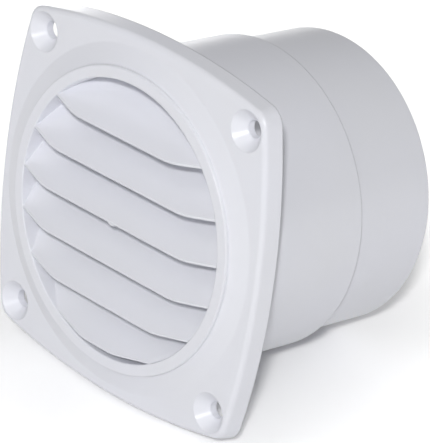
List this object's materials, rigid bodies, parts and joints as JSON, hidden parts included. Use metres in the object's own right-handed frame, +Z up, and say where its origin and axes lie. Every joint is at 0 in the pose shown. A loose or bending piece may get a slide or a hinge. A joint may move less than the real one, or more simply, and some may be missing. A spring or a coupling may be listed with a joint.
{
  "type": "ventilation grille",
  "caption": "Louvred ventilation grille on a bowed square plate with countersunk screw holes and a stepped round spigot for a hose or duct.",
  "frame": {"origin": "on the spigot axis, at the back of the plate where it meets the wall", "axes": "the louvres face -Y, the spigot runs back along +Y, +Z is up and the louvres run along X"},
  "size_m": [0.095, 0.073, 0.095],
  "materials": {
    "white_plastic": "moulded gloss white with a cool tint"
  },
  "bodies": {
    "root": {"vent_body": "white_plastic"}
  },
  "joints": []
}
